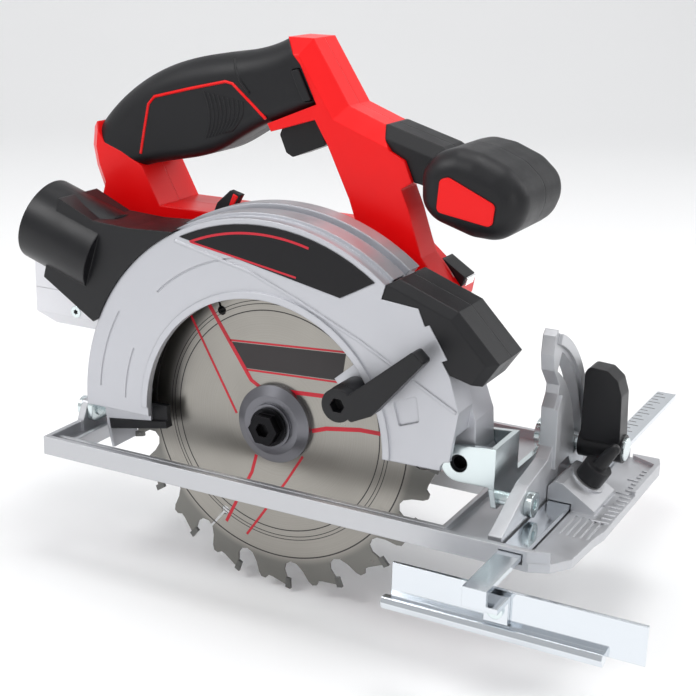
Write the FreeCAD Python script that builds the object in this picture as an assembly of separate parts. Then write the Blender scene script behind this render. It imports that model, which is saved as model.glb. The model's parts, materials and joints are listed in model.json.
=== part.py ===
import FreeCAD, Part
import math
import os
from FreeCAD import Vector as V

# Cordless circular saw, millimetres. X runs forwards, Y away from the blade side, Z up.
# The origin lies on the sole's underside, below the arbor, in the plane of the blade's near face.

# driving dimensions: blade and arbor
BLADE_R, BLADE_BODY_R, BLADE_T, KERF, BORE_R = 82.5, 81.0, 1.1, 1.6, 10.0
TEETH, TIP_LEAD = 18, 216.0
ARBOR_Z = 28.5
MODULE, GEAR_TEETH, PINION_TEETH = 0.75, 48, 12
GEAR_OFFSET = MODULE * (GEAR_TEETH + PINION_TEETH) / 2
MOTOR_X = GEAR_OFFSET * math.cos(math.radians(100))
MOTOR_Z = ARBOR_Z + GEAR_OFFSET * math.sin(math.radians(100))
LOCK_Y, LOCK_TRAVEL = 32.0, 3.5    # the spindle lock's button
RUN = 0.05      # radial clearance of a running fit
GAP = 0.3       # gap between pieces that only pass each other

# driving dimensions: sole, bevel and depth pivots
SOLE_T, WALL_H, WALL_T = 4.0, 9.0, 2.6
SOLE_X0, SOLE_X1, SOLE_Y0, SOLE_Y1 = -112.0, 152.0, -29.6, 105.0
SLOT_X0, SLOT_X1, SLOT_Y0, SLOT_Y1 = -99.0, 93.0, -19.5, 34.0
BEVEL_Y, BEVEL_Z, BEVEL_SLOT_R, BEVEL_REST = 5.0, 14.0, 62.5, 8.0
BEVEL_RANGE, DEPTH_RANGE = 50.0, 32.0
DEPTH_X, DEPTH_Z, DEPTH_SLOT_R, DEPTH_REST = 92.0, 29.0, 135.0, 176.0

# driving dimensions: upper guard and housings
GUARD_Y0, GUARD_Y1, GUARD_SKIN = -14.0, 14.5, 2.5
GUARD_R, RIM_R, WINDOW_R = 97.0, 100.5, 61.5
LOWER_R, LOWER_SKIN = 90.0, 1.5
HANDLE_Y, HANDLE_HALF = 44.0, 17.0
MOTOR_R, MOTOR_Y0, MOTOR_Y1 = 33.0, 44.3, 112.0
HOSE_R, PORT_WALL = 18.0, 2.4


def polar(r, a, cx=0.0, cz=ARBOR_Z):
    a = math.radians(a)
    return cx + r * math.cos(a), cz + r * math.sin(a)


def wire(points, radius=0.0):
    """Closed wire through the points, each corner rounded to the radius where its sides leave room."""
    if radius <= 0:
        return Part.makePolygon(points + [points[0]])
    edges, last, first = [], None, None
    count = len(points)
    for i, p in enumerate(points):
        a, b = points[i - 1] - p, points[(i + 1) % count] - p
        angle = a.getAngle(b)
        if angle > math.pi - 0.02:
            start = end = p
        else:
            cut = min(radius / math.tan(angle / 2), 0.48 * a.Length, 0.48 * b.Length)
            start, end = p + a.normalize() * cut, p + b.normalize() * cut
        if last is not None and (start - last).Length > 1e-6:
            edges.append(Part.makeLine(last, start))
        if start is not end:
            r = cut * math.tan(angle / 2)
            half = (a + b).normalize()
            middle = p + half * (math.hypot(cut, r) - r)
            edges.append(Part.Arc(start, middle, end).toShape())
        first = first or start
        last = end
    edges.append(Part.makeLine(last, first))
    return Part.Wire(edges)


def prism_x(yz, x0, x1, radius=0.0):
    return Part.Face(wire([V(x0, y, z) for y, z in yz], radius)).extrude(V(x1 - x0, 0, 0))


def prism_y(xz, y0, y1, radius=0.0):
    return Part.Face(wire([V(x, y0, z) for x, z in xz], radius)).extrude(V(0, y1 - y0, 0))


def prism_z(xy, z0, z1, radius=0.0):
    return Part.Face(wire([V(x, y, z0) for x, y in xy], radius)).extrude(V(0, 0, z1 - z0))


def box(x0, x1, y0, y1, z0, z1):
    return Part.makeBox(x1 - x0, y1 - y0, z1 - z0, V(x0, y0, z0))


def cyl_x(y, z, r, x0, x1):
    return Part.makeCylinder(r, x1 - x0, V(x0, y, z), V(1, 0, 0))


def cyl_y(x, z, r, y0, y1):
    return Part.makeCylinder(r, y1 - y0, V(x, y0, z), V(0, 1, 0))


def cyl_z(x, y, r, z0, z1):
    return Part.makeCylinder(r, z1 - z0, V(x, y, z0))


def ring_y(x, z, r0, r1, y0, y1):
    return cyl_y(x, z, r1, y0, y1).cut(cyl_y(x, z, r0, y0 - 1, y1 + 1))


def sector_y(r0, r1, a0, a1, y0, y1, cx=0.0, cz=ARBOR_Z):
    """Part of a ring about an axis along Y, from angle a0 to a1 measured from +X towards +Z."""
    def at(r, a):
        x, z = polar(r, a, cx, cz)
        return V(x, y0, z)
    mid = (a0 + a1) / 2
    edges = [Part.Arc(at(r1, a0), at(r1, mid), at(r1, a1)).toShape(), Part.makeLine(at(r1, a1), at(r0, a1)),
             Part.Arc(at(r0, a1), at(r0, mid), at(r0, a0)).toShape(), Part.makeLine(at(r0, a0), at(r1, a0))]
    return Part.Face(Part.Wire(edges)).extrude(V(0, y1 - y0, 0))


def sector_x(r0, r1, a0, a1, x0, x1, cy=BEVEL_Y, cz=BEVEL_Z):
    """Part of a ring about an axis along X, from angle a0 to a1 measured from +Y towards +Z."""
    flat = sector_y(r0, r1, a0, a1, 0, x1 - x0, 0, 0)
    flat.rotate(V(0, 0, 0), V(0, 0, 1), 90)
    flat.translate(V(x1, cy, cz))
    return flat


def hex_y(x, z, across, y0, y1):
    r = across / math.sqrt(3)
    return prism_y([polar(r, 60 * i, x, z) for i in range(6)], y0, y1)


def fuse(*shapes):
    return shapes[0].multiFuse(list(shapes[1:])).removeSplitter()


def turned(shape, point, axis, angle):
    copy = shape.copy()
    copy.rotate(point, axis, angle)
    return copy


def chamfered(shape, size, keep):
    """Chamfer the edges that the test keeps."""
    return shape.makeChamfer(size, [e for e in shape.Edges if keep(e)])


def in_plane_y(y):
    return lambda e: abs(e.BoundBox.YMin - y) < 1e-3 and abs(e.BoundBox.YMax - y) < 1e-3


def write(name, shape):
    shape.exportStep("parts/" + name + ".step")


os.makedirs("parts", exist_ok=True)

# ---------------------------------------------------------------- blade, flanges and spindle
def tooth_outline():
    """Hooked teeth: face, round gullet, anti-kickback shoulder, then the long back to the next tip."""
    shape = [(BLADE_BODY_R, -0.4), (BLADE_R - 9.5, -2.0), (BLADE_R - 12.6, -1.2), (BLADE_R - 14.0, 1.2),
             (BLADE_R - 13.0, 3.8), (BLADE_R - 9.5, 6.0), (BLADE_R - 4.6, 7.6), (BLADE_R - 2.6, 8.8),
             (BLADE_R - 2.6, 10.4), (BLADE_R - 4.6, 11.6), (BLADE_R - 4.4, 13.2), (BLADE_BODY_R - 0.6, 18.0)]
    return [polar(r, TIP_LEAD + 20 * i + a) for i in range(TEETH) for r, a in shape]


tip = prism_y([(BLADE_R - 5.5, -1.9), (BLADE_R - 5.0, 0.3), (BLADE_R, 0.0), (BLADE_R - 0.7, -2.6)], 0, KERF)
tips = []
for i in range(TEETH):
    one = turned(tip, V(0, 0, 0), V(0, 1, 0), -(TIP_LEAD + 20 * i))
    one.translate(V(0, 0, ARBOR_Z))
    tips.append(one)
tips = Part.makeCompound(tips)
blade = prism_y(tooth_outline(), (KERF - BLADE_T) / 2, (KERF + BLADE_T) / 2)
blade = blade.cut(cyl_y(0, ARBOR_Z, BORE_R, -1, 3)).cut(tips)
for a in (238.0, 358.0, 118.0):
    x, z = polar(57.0, a + 3)
    slot = [polar(57, a + 3.6), polar(57, a + 2.4), polar(70.5, a + 0.6), polar(70.5, a + 1.6)]
    blade = blade.cut(prism_y(slot, -1, 3)).cut(cyl_y(x, z, 2.2, -1, 3))
write("saw_blade", blade)
write("carbide_tips", tips)

inner_flange = fuse(cyl_y(0, ARBOR_Z, 18.5, KERF - 0.2, 6.6), cyl_y(0, ARBOR_Z, BORE_R - RUN, 0.1, KERF))
inner_flange = inner_flange.cut(cyl_y(0, ARBOR_Z, 6.02, -1, 8))
write("inner_flange", inner_flange)
flange = Part.makeCone(14.0, 18.5, 2.2, V(0, -4.6, ARBOR_Z), V(0, 1, 0))
flange = fuse(flange, cyl_y(0, ARBOR_Z, 18.5, -2.4, 0.2), cyl_y(0, ARBOR_Z, 10.5, -6.2, -4.0))
flange = flange.cut(cyl_y(0, ARBOR_Z, 4.1, -8, 1)).cut(cyl_y(0, ARBOR_Z, 12, -0.6, 1))
write("outer_flange", flange)
bolt = fuse(hex_y(0, ARBOR_Z, 13, -12.4, -7.8), cyl_y(0, ARBOR_Z, 9.0, -7.8, -6.3),
            cyl_y(0, ARBOR_Z, 4.0, -6.4, 16))
write("blade_bolt", bolt.cut(hex_y(0, ARBOR_Z, 6, -13, -9)))
spindle = fuse(cyl_y(0, ARBOR_Z, 6.0, 0.4, 43), cyl_y(0, ARBOR_Z, 7.5, 17.2, 20.6))
spindle = spindle.cut(cyl_y(0, ARBOR_Z, 4.05, -1, 17))
spindle = spindle.cut(cyl_x(LOCK_Y, ARBOR_Z, 1.9, -7, 7)).cut(cyl_z(0, LOCK_Y, 1.9, ARBOR_Z - 7, ARBOR_Z + 7))
write("spindle", spindle)


def gear(teeth, width_y0, width_y1, bore_r, x, z, lead, thin=0.10):
    """Involute gear of 20 degrees pressure angle, its tooth flanks thinned for backlash."""
    pitch = MODULE * teeth / 2
    base, outer, root = pitch * math.cos(math.radians(20)), pitch + 0.85 * MODULE, pitch - 1.15 * MODULE
    inv = math.tan(math.radians(20)) - math.radians(20)
    half = math.pi / (2 * teeth) - thin / pitch
    points = []
    for i in range(teeth):
        centre = math.radians(lead) + 2 * math.pi * i / teeth
        flank = []
        for k in range(5):
            r = max(root, base) + (outer - max(root, base)) * k / 4
            roll = math.acos(min(1.0, base / r))
            flank.append((r, half + inv - (math.tan(roll) - roll)))
        flank.insert(0, (root, flank[0][1] + 0.02))
        side = [(r, centre - w) for r, w in flank] + [(r, centre + w) for r, w in reversed(flank)]
        points += [(x + r * math.cos(a), z + r * math.sin(a)) for r, a in side]
    return prism_y(points, width_y0, width_y1).cut(cyl_y(x, z, bore_r, width_y0 - 1, width_y1 + 1))


write("driven_gear", gear(GEAR_TEETH, 22, 30, 6.02, 0, ARBOR_Z, 100))
write("pinion", gear(PINION_TEETH, 21.4, 30.6, 2.02, MOTOR_X, MOTOR_Z, 280 + 180 / PINION_TEETH))

# ---------------------------------------------------------------- motor
shaft = fuse(cyl_y(MOTOR_X, MOTOR_Z, 2.0, 20.5, 33), cyl_y(MOTOR_X, MOTOR_Z, 4.0, 32, 107.8))
write("rotor_shaft", shaft)
core = ring_y(MOTOR_X, MOTOR_Z, 4.02, 15.5, 56, 88)
for i in range(12):
    slot = box(MOTOR_X - 1.1, MOTOR_X + 1.1, 55, 89, MOTOR_Z + 11, MOTOR_Z + 17)
    core = core.cut(turned(slot, V(MOTOR_X, 0, MOTOR_Z), V(0, 1, 0), 30 * i))
write("rotor_core", core)
write("commutator", ring_y(MOTOR_X, MOTOR_Z, 4.02, 9.0, 91, 101))
fan = fuse(ring_y(MOTOR_X, MOTOR_Z, 4.02, 8, 45, 52), ring_y(MOTOR_X, MOTOR_Z, 7.5, 27, 45, 46.4))
blades = [turned(box(MOTOR_X - 0.6, MOTOR_X + 0.6, 46, 52, MOTOR_Z + 9, MOTOR_Z + 26.5),
                 V(MOTOR_X, 0, MOTOR_Z), V(0, 1, 0), 360 / 14 * i) for i in range(14)]
write("cooling_fan", fuse(fan, *blades))
write("stator", ring_y(MOTOR_X, MOTOR_Z, 16.1, 27.5, 54, 90))
write("spindle_bearings", Part.makeCompound([ring_y(0, ARBOR_Z, 6.0 + RUN, 12.5, 8.0, 15.5),
                                             ring_y(0, ARBOR_Z, 6.0 + RUN, 11.0, 34.0, 41.0)]))
write("rotor_bearings", Part.makeCompound([ring_y(MOTOR_X, MOTOR_Z, 4.0 + RUN, 9.5, 33.4, 39.4),
                                           ring_y(MOTOR_X, MOTOR_Z, 4.0 + RUN, 8.0, 103.0, 107.8)]))

HOUSE_Y0, HOUSE_Y1 = 7.0, 44.0
gear_case = fuse(cyl_y(0, ARBOR_Z, 22.2, GUARD_Y1 + 0.1, HOUSE_Y1),
                 cyl_y(MOTOR_X, MOTOR_Z, 20.0, GUARD_Y1 + 0.1, 41),
                 cyl_y(0, ARBOR_Z, 23.0, HOUSE_Y0, GUARD_Y1 + 1),
                 cyl_y(0, ARBOR_Z, 34.0, GUARD_Y1 + 0.1, 17.6),
                 cyl_y(MOTOR_X, MOTOR_Z, MOTOR_R, 40.5, MOTOR_Y0 - 0.2))
gear_case = gear_case.cut(cyl_y(0, ARBOR_Z, 19.6, 20.9, 32.9)).cut(cyl_y(MOTOR_X, MOTOR_Z, 7.2, 19.8, 32.9))
gear_case = gear_case.cut(cyl_y(0, ARBOR_Z, 12.5, 7.9, 15.6)).cut(cyl_y(0, ARBOR_Z, 8.2, 6, 33.5))
gear_case = gear_case.cut(cyl_y(0, ARBOR_Z, 11.0, 32, 41.2)).cut(cyl_y(0, ARBOR_Z, 6.8, 40, HOUSE_Y1 - 0.8))
gear_case = gear_case.cut(cyl_y(MOTOR_X, MOTOR_Z, 9.5, 33.2, 42)).cut(cyl_y(MOTOR_X, MOTOR_Z, 5.0, 30, 45))
gear_case = gear_case.cut(cyl_x(LOCK_Y, ARBOR_Z, 1.6 + RUN, 6.5, 30))

motor_housing = fuse(ring_y(MOTOR_X, MOTOR_Z, MOTOR_R - 2.6, MOTOR_R, MOTOR_Y0, MOTOR_Y1),
                     ring_y(MOTOR_X, MOTOR_Z, 27.6, MOTOR_R, 54, 90))
for i in range(24):
    vent = box(MOTOR_X - 1.2, MOTOR_X + 1.2, 94, 108, MOTOR_Z + 28, MOTOR_Z + 36)
    motor_housing = motor_housing.cut(turned(vent, V(MOTOR_X, 0, MOTOR_Z), V(0, 1, 0), 15 * i + 7))
write("motor_housing", motor_housing)
cap = fuse(cyl_y(MOTOR_X, MOTOR_Z, MOTOR_R, MOTOR_Y1 + 0.1, MOTOR_Y1 + 5),
           cyl_y(MOTOR_X, MOTOR_Z, 11, 102.9, MOTOR_Y1 + 1))
cap = cap.cut(cyl_y(MOTOR_X, MOTOR_Z, 8.0, 102, 108.2))
for i in range(9):
    vent = box(MOTOR_X + 14, MOTOR_X + 27, MOTOR_Y1 - 1, MOTOR_Y1 + 6, MOTOR_Z - 1.2, MOTOR_Z + 1.2)
    cap = cap.cut(turned(vent, V(MOTOR_X, 0, MOTOR_Z), V(0, 1, 0), 40 * i))
write("motor_cap", cap)

# ---------------------------------------------------------------- upper guard
LOWER_ANGLE, UPPER_ANGLE = 182.7, 52.0
top_front = polar(GUARD_R, UPPER_ANGLE)
rear_low = polar(GUARD_R, LOWER_ANGLE)
arc = [polar(GUARD_R, a) for a in range(56, 182, 3)]
NOSE = [(84.9, 22.0), (96.5, 20.5), (98.5, 28.0), (97.0, 48.0), (91.5, 62.5)]
near_edge = [(58.0, 98.8), (75.0, 97.2), (78.3, 90.0), (80.3, 91.0), (89.0, 77.4), (86.5, 76.3),
             (90.3, 70.5), (95.2, 55.6), (91.5, 29.0), (86.0, 28.4)]
far_edge = [NOSE[4], NOSE[3], NOSE[2], NOSE[1], NOSE[0]]


def guard_plate(front, y0, y1):
    outline = [rear_low] + list(reversed(arc)) + [top_front] + front + [(59.0, 28.0), (56.0, 24.0)]
    return prism_y(outline, y0, y1)


near_plate = guard_plate(near_edge, GUARD_Y0, GUARD_Y0 + GUARD_SKIN)
near_plate = near_plate.cut(cyl_y(0, ARBOR_Z, WINDOW_R, -30, 0)).cut(box(-60, 56, -30, 0, 0, ARBOR_Z))
lip = ring_y(0, ARBOR_Z, WINDOW_R, WINDOW_R + 3.2, GUARD_Y0 - 1.1, GUARD_Y0 + 0.5)
lip = lip.cut(box(-80, 80, -30, 0, -60, ARBOR_Z))
far_plate = guard_plate(far_edge, GUARD_Y1 - GUARD_SKIN, GUARD_Y1)
far_plate = far_plate.cut(cyl_y(0, ARBOR_Z, 28.6, 0, 30)).cut(box(-28.6, 28.6, 0, 30, 0, ARBOR_Z))
skirt = sector_y(GUARD_R - GUARD_SKIN, GUARD_R, UPPER_ANGLE, LOWER_ANGLE, GUARD_Y0, GUARD_Y1)
rim = sector_y(GUARD_R - 0.5, RIM_R, UPPER_ANGLE, 131.0, 5.5, GUARD_Y1)
step = sector_y(GUARD_R - 0.5, GUARD_R + 1.7, UPPER_ANGLE, 126.0, -8.0, 2.5)
front_wall = [top_front, NOSE[4], (89.8, 61.3), (58.4, 103.4)]
front_skirt = prism_y(front_wall, -10.0, GUARD_Y1)
front_block = prism_y(far_edge + [(84.9, 40.0), (90.2, 48.0), (86.5, 61.5)], 0.4, 21.0)
pivot_boss = cyl_y(DEPTH_X, DEPTH_Z, 7.2, -0.2, 21.4)
guard = fuse(near_plate, lip, far_plate, skirt, rim, step, front_skirt, front_block, pivot_boss)
front_web = [(95.2, 55.6), (90.3, 70.0), (87.0, 63.0), (90.6, 48.0), (93.6, 44.0)]
guard = guard.fuse(prism_y(front_web, GUARD_Y0, 1.0))
guard = guard.cut(cyl_y(DEPTH_X, DEPTH_Z, 4.0 + RUN, -20, 30))
for r, a0, a1 in ((79.0, 96.0, 134.0), (88.5, 150.0, 176.0), (74.0, 158.0, 178.0)):
    guard = guard.cut(sector_y(r, r + 0.7, a0, a1, GUARD_Y0 - 1, GUARD_Y0 + 0.4))
BADGE = [polar(94.4, 54.5 + 4 * i) for i in range(16)] + [(-42.5, 112.9), (38.9, 96.6)]
guard = guard.cut(prism_y(BADGE, GUARD_Y0 - 1, GUARD_Y0 + 0.6))
ridge = [(-45.0, 111.3), (-5.8, 102.4), (19.4, 92.8), (48.9, 79.8), (94.4, 55.9)]
ridge += [(x - 0.5, z - 1.2) for x, z in reversed(ridge)]
guard = guard.fuse(prism_y(ridge, GUARD_Y0 - 0.6, GUARD_Y0 + 0.5))
label_seat = [(65.2, 55.1), (75.7, 59.1), (77.5, 48.2), (68.3, 44.6)]
guard = guard.cut(prism_y(label_seat, GUARD_Y0 - 1, GUARD_Y0 + 1.0, 1.0))
port_mouth = prism_y([polar(80, 160), polar(105, 160), polar(105, 134), polar(80, 134)], -10.5, 10.5)
guard = guard.cut(port_mouth)
write("upper_guard", guard)
write("guard_badge", prism_y(BADGE, GUARD_Y0 - 0.5, GUARD_Y0 + 0.55))
write("gear_housing", gear_case.cut(box(-40, 40, 0, 60, -10, 8.0)))

# front cover, black, in two halves that meet a little beyond the blade
COVER_SEAM = 3.0
cover_outline = [(60.0, 105.2), (64.5, 107.5), (91.5, 97.5), (110.5, 78.0), (103.5, 67.5), (90.4, 70.9)] + [
    near_edge[i] for i in (5, 4, 3, 2, 1, 0)]
cover = prism_y(cover_outline, GUARD_Y0 + 0.4, 15.0)
cover = cover.makeChamfer(3.5, [e for e in cover.Edges if in_plane_y(GUARD_Y0 + 0.4)(e)
                                and e.CenterOfMass.x + e.CenterOfMass.z > 175])
inside = prism_y([(59.0, 106.5), (92.0, 63.3), (99.0, 48.0), (80.0, 40.0), (0.0, 30.0)], -10.3, 30.0)
cover = cover.cut(inside).cut(guard).cut(cyl_y(0, ARBOR_Z, RIM_R + 0.2, 2.0, 30))
write("front_cover_near", cover.common(box(0, 200, -40, COVER_SEAM - 0.1, 0, 200)))
write("front_cover_far", cover.common(box(0, 200, COVER_SEAM, 40, 0, 200)))

# ---------------------------------------------------------------- dust port
PORT_END, PORT_TILT, PORT_LEN = V(-129.0, 0, 108.0), 18.0, 40.0
inward = V(math.cos(math.radians(PORT_TILT)), 0, -math.sin(math.radians(PORT_TILT)))
across = V(-inward.z, 0, inward.x)


def on_port(along, up):
    """Point beside the port's axis: how far inward from its mouth, and how far up across it."""
    point = PORT_END + inward * along + across * up
    return point.x, point.z


tube = Part.makeCylinder(HOSE_R + PORT_WALL, PORT_LEN, PORT_END, inward)
flare = prism_y([on_port(14, 20.2), (-90.0, 114.4), (-80.0, 100.0), (-85.0, 70.0), (-91.5, 66.1),
                 on_port(16, -20.2)], -15.0, 14.0)
collar_outline = [(-91.5, 66.0), (-99.0, 76.0), (-103.0, 90.0), (-99.0, 106.0), (-90.0, 114.5),
                  (-70.0, 113.5), (-46.0, 114.7), polar(96.8, 118.6)]
collar_outline += [polar(96.8, a) for a in range(122, 157, 4)]
port = fuse(tube, flare, prism_y(collar_outline, -15.0, 14.0))
port = port.cut(Part.makeCylinder(HOSE_R, 30.0, PORT_END, inward))
port = port.cut(Part.makeCylinder(13.5, 60.0, PORT_END + inward * 20, inward))
port = port.cut(prism_y([polar(90, 159), polar(108, 158), polar(108, 136), polar(90, 135)], -11, 11))
port = port.cut(cyl_y(0, ARBOR_Z, GUARD_R + 0.15, -50, 50)).cut(sector_y(90, RIM_R + 0.2, 60, 131.3, 5.2, 50))
port = port.cut(sector_y(90, GUARD_R + 1.9, 60, 126.3, -8.3, 2.8)).cut(guard)
write("dust_port", port)

# ---------------------------------------------------------------- lower guard with its lever
ROLL0, ROLL1, TAIL = 12.0, 187.5, 197.0
lower = sector_y(63.5, LOWER_R, ROLL0, ROLL1, -9.6, -9.6 + LOWER_SKIN)
lower = fuse(lower, sector_y(LOWER_R - LOWER_SKIN, LOWER_R, ROLL0, TAIL, -9.6, 10.0),
             sector_y(27.0, LOWER_R, ROLL0, ROLL1, 8.5, 10.0),
             ring_y(0, ARBOR_Z, 23.0 + RUN, 28.2, 8.5, 11.8),
             sector_y(46.0, 66.0, 21.0, 41.0, -9.6, -9.6 + LOWER_SKIN))
BOSS_X, BOSS_Z = polar(53.0, 29.0)
lower = lower.cut(cyl_y(BOSS_X, BOSS_Z, 3.2, -20, 0))
write("lower_guard", lower)
lever = fuse(cyl_y(BOSS_X, BOSS_Z, 7.6, -23.0, -10.0), cyl_y(BOSS_X, BOSS_Z, 3.0, -11.0, -7.0),
             prism_y([(BOSS_X + 2.0, BOSS_Z + 3.0), (BOSS_X + 6.0, BOSS_Z - 6.5), (62.5, 52.5), (85.0, 79.0),
                      (80.0, 83.5)], -29.0, -21.0, 1.5),
             cyl_y(BOSS_X, BOSS_Z, 7.4, -29.0, -20.0))
lever = lever.cut(hex_y(BOSS_X, BOSS_Z, 6.0, -30.0, -24.0))
write("guard_lever", lever)
bumper = sector_y(55.0, 88.2, ROLL1 + 0.1, ROLL1 + 3.5, -9.6, 10.0)
bumper = fuse(bumper.cut(cyl_y(0, ARBOR_Z, 84.0, -5.0, 5.0)),
              sector_y(84.6, 88.2, 180.0, ROLL1 + 3.5, -8.0, 8.4),
              sector_y(55.0, 88.2, 180.0, ROLL1 + 3.5, -8.0, -5.0))
write("guard_bumper", bumper)
write("guard_spring", Part.makeTorus(25.0, 0.5, V(0, 13.1, ARBOR_Z), V(0, 1, 0)))

# ---------------------------------------------------------------- handle: shells, grip, trigger and lock-off
NEAR, FAR = HANDLE_Y - HANDLE_HALF, HANDLE_Y + HANDLE_HALF
FRONT_EDGE = [(-15.5, 198.5), (-2.5, 198.5), (16.0, 170.4), (34.5, 163.5), (37.0, 157.0),
              (40.0, 153.0), (47.0, 149.5), (51.0, 140.5), (46.0, 137.0), (50.0, 128.0),
              (57.0, 108.0), (69.0, 93.5), (68.0, 87.0), (50.0, 66.0), (36.0, 40.0),
              (22.0, 22.0), (-28.0, 22.0), (-42.0, 40.0), (-46.0, 70.0), (-58.0, 99.5)]
REAR_EDGE = [(-121.0, 99.5), (-117.0, 113.0), (-124.0, 130.0), (-126.0, 140.0), (-125.0, 149.0),
             (-120.0, 152.5), (-114.0, 143.0), (-104.0, 139.5), (-92.0, 133.5), (-82.0, 115.5)]
GAP_EDGE = [(26.0, 115.5), (20.7, 130.0), (9.5, 152.5), (2.5, 163.7), (-20.0, 156.5),
            (-22.0, 160.0), (3.1, 170.5), (-5.3, 187.4)]
shell = prism_y(FRONT_EDGE + REAR_EDGE + GAP_EDGE, NEAR, FAR)


def outside_edge(e):
    x, z = e.CenterOfMass.x, e.CenterOfMass.z
    return (z > 165.5 and x > 3) or z > 198 or (x < -117 and 112 < z < 148)


shell = shell.makeChamfer(7.0, [e for e in shell.Edges if (in_plane_y(NEAR)(e) or in_plane_y(FAR)(e))
                                and outside_edge(e)])
far_recess = [(37.0, 135.0), (48.0, 107.0), (60.0, 97.0), (80.0, 97.0), (80.0, 138.0), (40.0, 138.0)]
shell = shell.cut(prism_y(far_recess, 43, 70))
shell = shell.cut(cyl_y(MOTOR_X, MOTOR_Z, MOTOR_R + 0.2, 0, 120)).cut(cyl_y(0, ARBOR_Z, 22.4, 0, 120))
shell = shell.cut(cyl_x(LOCK_Y, ARBOR_Z, 5.3, 20, 40))
hollow = [prism_y([(-9, 194), (-5, 194), (13, 167), (30, 160), (30, 138), (38, 110), (31, 94), (28, 112),
                   (15, 150), (7, 168), (0, 184)], NEAR + 4, FAR - 4, 1),
          prism_y([(-114, 103), (-60, 103), (-50, 96), (-36, 91), (26, 91), (29, 104), (20, 112),
                   (-84, 112), (-96, 130), (-116, 136), (-119, 130)], NEAR + 3, FAR - 3, 1)]
PULL = V(-0.336, 0, 0.942)
TRIGGER_HALF, TRIGGER_ROOM = 8.0, 6.0
TRIGGER = [(-19.3, 157.0), (-20.5, 154.0), (-17.0, 146.0), (-13.5, 144.3), (3.6, 151.3),
           (-0.5, 162.2), (-3.0, 166.5), (-18.0, 160.5)]
trigger = prism_y(TRIGGER, HANDLE_Y - TRIGGER_HALF, HANDLE_Y + TRIGGER_HALF, 1.2)
pocket = [(x + t * PULL.x + s, z + t * PULL.z) for (x, z), t, s in
          (((-21.2, 152.0), 0, 0), ((4.4, 152.0), 0, 0), ((-2.0, 166.5), TRIGGER_ROOM, 1.0),
           ((-20.0, 158.5), TRIGGER_ROOM, -1.0))]
pocket = prism_y(pocket, HANDLE_Y - TRIGGER_HALF - GAP, HANDLE_Y + TRIGGER_HALF + GAP)
grip_top = Part.BSplineCurve()
TOP_LINE = [(-120.0, 152.5), (-106.0, 166.5), (-82.0, 180.8), (-53.0, 188.6), (-33.0, 192.0), (-15.5, 198.5)]
grip_top.interpolate([V(x, NEAR, z) for x, z in TOP_LINE])
grip_low = Part.BSplineCurve()
LOW_LINE = [(-22.0, 160.0), (-36.0, 153.0), (-52.0, 143.8), (-74.0, 137.8), (-92.0, 133.5)]
grip_low.interpolate([V(x, NEAR, z) for x, z in LOW_LINE])
ends = [[(-15.5, 198.5), (-5.3, 187.4), (3.1, 170.5), (-22.0, 160.0)],
        [(-92.0, 133.5), (-104.0, 139.5), (-114.0, 143.0), (-120.0, 152.5)]]
lines = [Part.makeLine(V(a[0], NEAR, a[1]), V(b[0], NEAR, b[1]))
         for run in ends for a, b in zip(run, run[1:])]
grip_wire = Part.Wire([grip_top.toShape()] + lines[:3] + [grip_low.toShape()] + lines[3:])
grip = Part.Face(grip_wire).extrude(V(0, FAR - NEAR, 0))
for radius, low_side in ((6.0, True), (12.0, False)):
    grip = grip.makeFillet(radius, [e for e in grip.Edges if (in_plane_y(NEAR)(e) or in_plane_y(FAR)(e))
                                    and e.Length > 55 and (e.CenterOfMass.z < 165) == low_side])
bore = prism_y([(-112, 148), (-101, 162), (-80, 175), (-52, 183), (-32, 186), (-12, 184), (-4, 171.5),
                (-26, 163), (-52, 150), (-74, 144), (-94, 140)], NEAR + 4, FAR - 4, 3)
grip, shell = grip.cut(bore).cut(pocket), shell.cut(hollow[0]).cut(hollow[1]).cut(pocket)
lock_off = prism_y([(-9.5, 184.5), (-5.6, 185.5), (1.0, 172.3), (-3.0, 171.3)], NEAR - 1.5, FAR - 2.5, 0.6)
hole = prism_y([(-9.9, 184.8), (-5.5, 185.9), (1.5, 172.1), (-3.1, 170.9)], NEAR - 1, FAR + 1, 0.6)
grip, shell = grip.cut(hole), shell.cut(hole)
write("trigger", trigger)
write("lock_off_button", lock_off)
near_half = box(-200, 200, -60, HANDLE_Y - 0.05, -50, 300)
far_half = box(-200, 200, HANDLE_Y + 0.05, 160, -50, 300)

SHOE_X0, SHOE_X1, SHOE_Y0, SHOE_Y1 = -128.0, -60.0, 36.0, 92.0
battery_top = 90.0
shoe = box(SHOE_X0, SHOE_X1, SHOE_Y0, SHOE_Y1, 96.6, 99.3)
for side, edge in ((1, SHOE_Y0), (-1, SHOE_Y1)):
    y0, y1 = sorted((edge, edge + side * 4))
    shoe = shoe.fuse(box(SHOE_X0, SHOE_X1, y0, y1, 91.0, 97))
    y0, y1 = sorted((edge, edge + side * 7.5))
    shoe = shoe.fuse(box(SHOE_X0, SHOE_X1, y0, y1, 91.0, 93.0))
write("battery_shoe", shoe.removeSplitter())
RAIL_Y0, RAIL_Y1 = SHOE_Y0 + 4 + GAP, SHOE_Y1 - 4 - GAP
battery = chamfered(box(-160.5, -64.0, 27.0, 101.0, 44.0, battery_top), 7.0,
                    lambda e: e.BoundBox.ZMax < 45 and (e.BoundBox.XMax < -160 or e.BoundBox.YLength < 1))
battery = fuse(battery, box(-127.0, -64.0, RAIL_Y0 + 3.6, RAIL_Y1 - 3.6, battery_top - 1, 94.5),
               box(-127.0, -64.0, RAIL_Y0, RAIL_Y1, 93.4, 96.3),
               box(-160.5, -133.0, 27.0, 101.0, battery_top - 1, 97.0))
button_seat = box(-162, -153.0, 50.0, 78.0, 78.0, 92.0)
battery = battery.cut(button_seat)
battery_seam = 64.0
write("battery_case_lower", battery.common(box(-300, 0, 0, 200, 0, battery_seam)))
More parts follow.
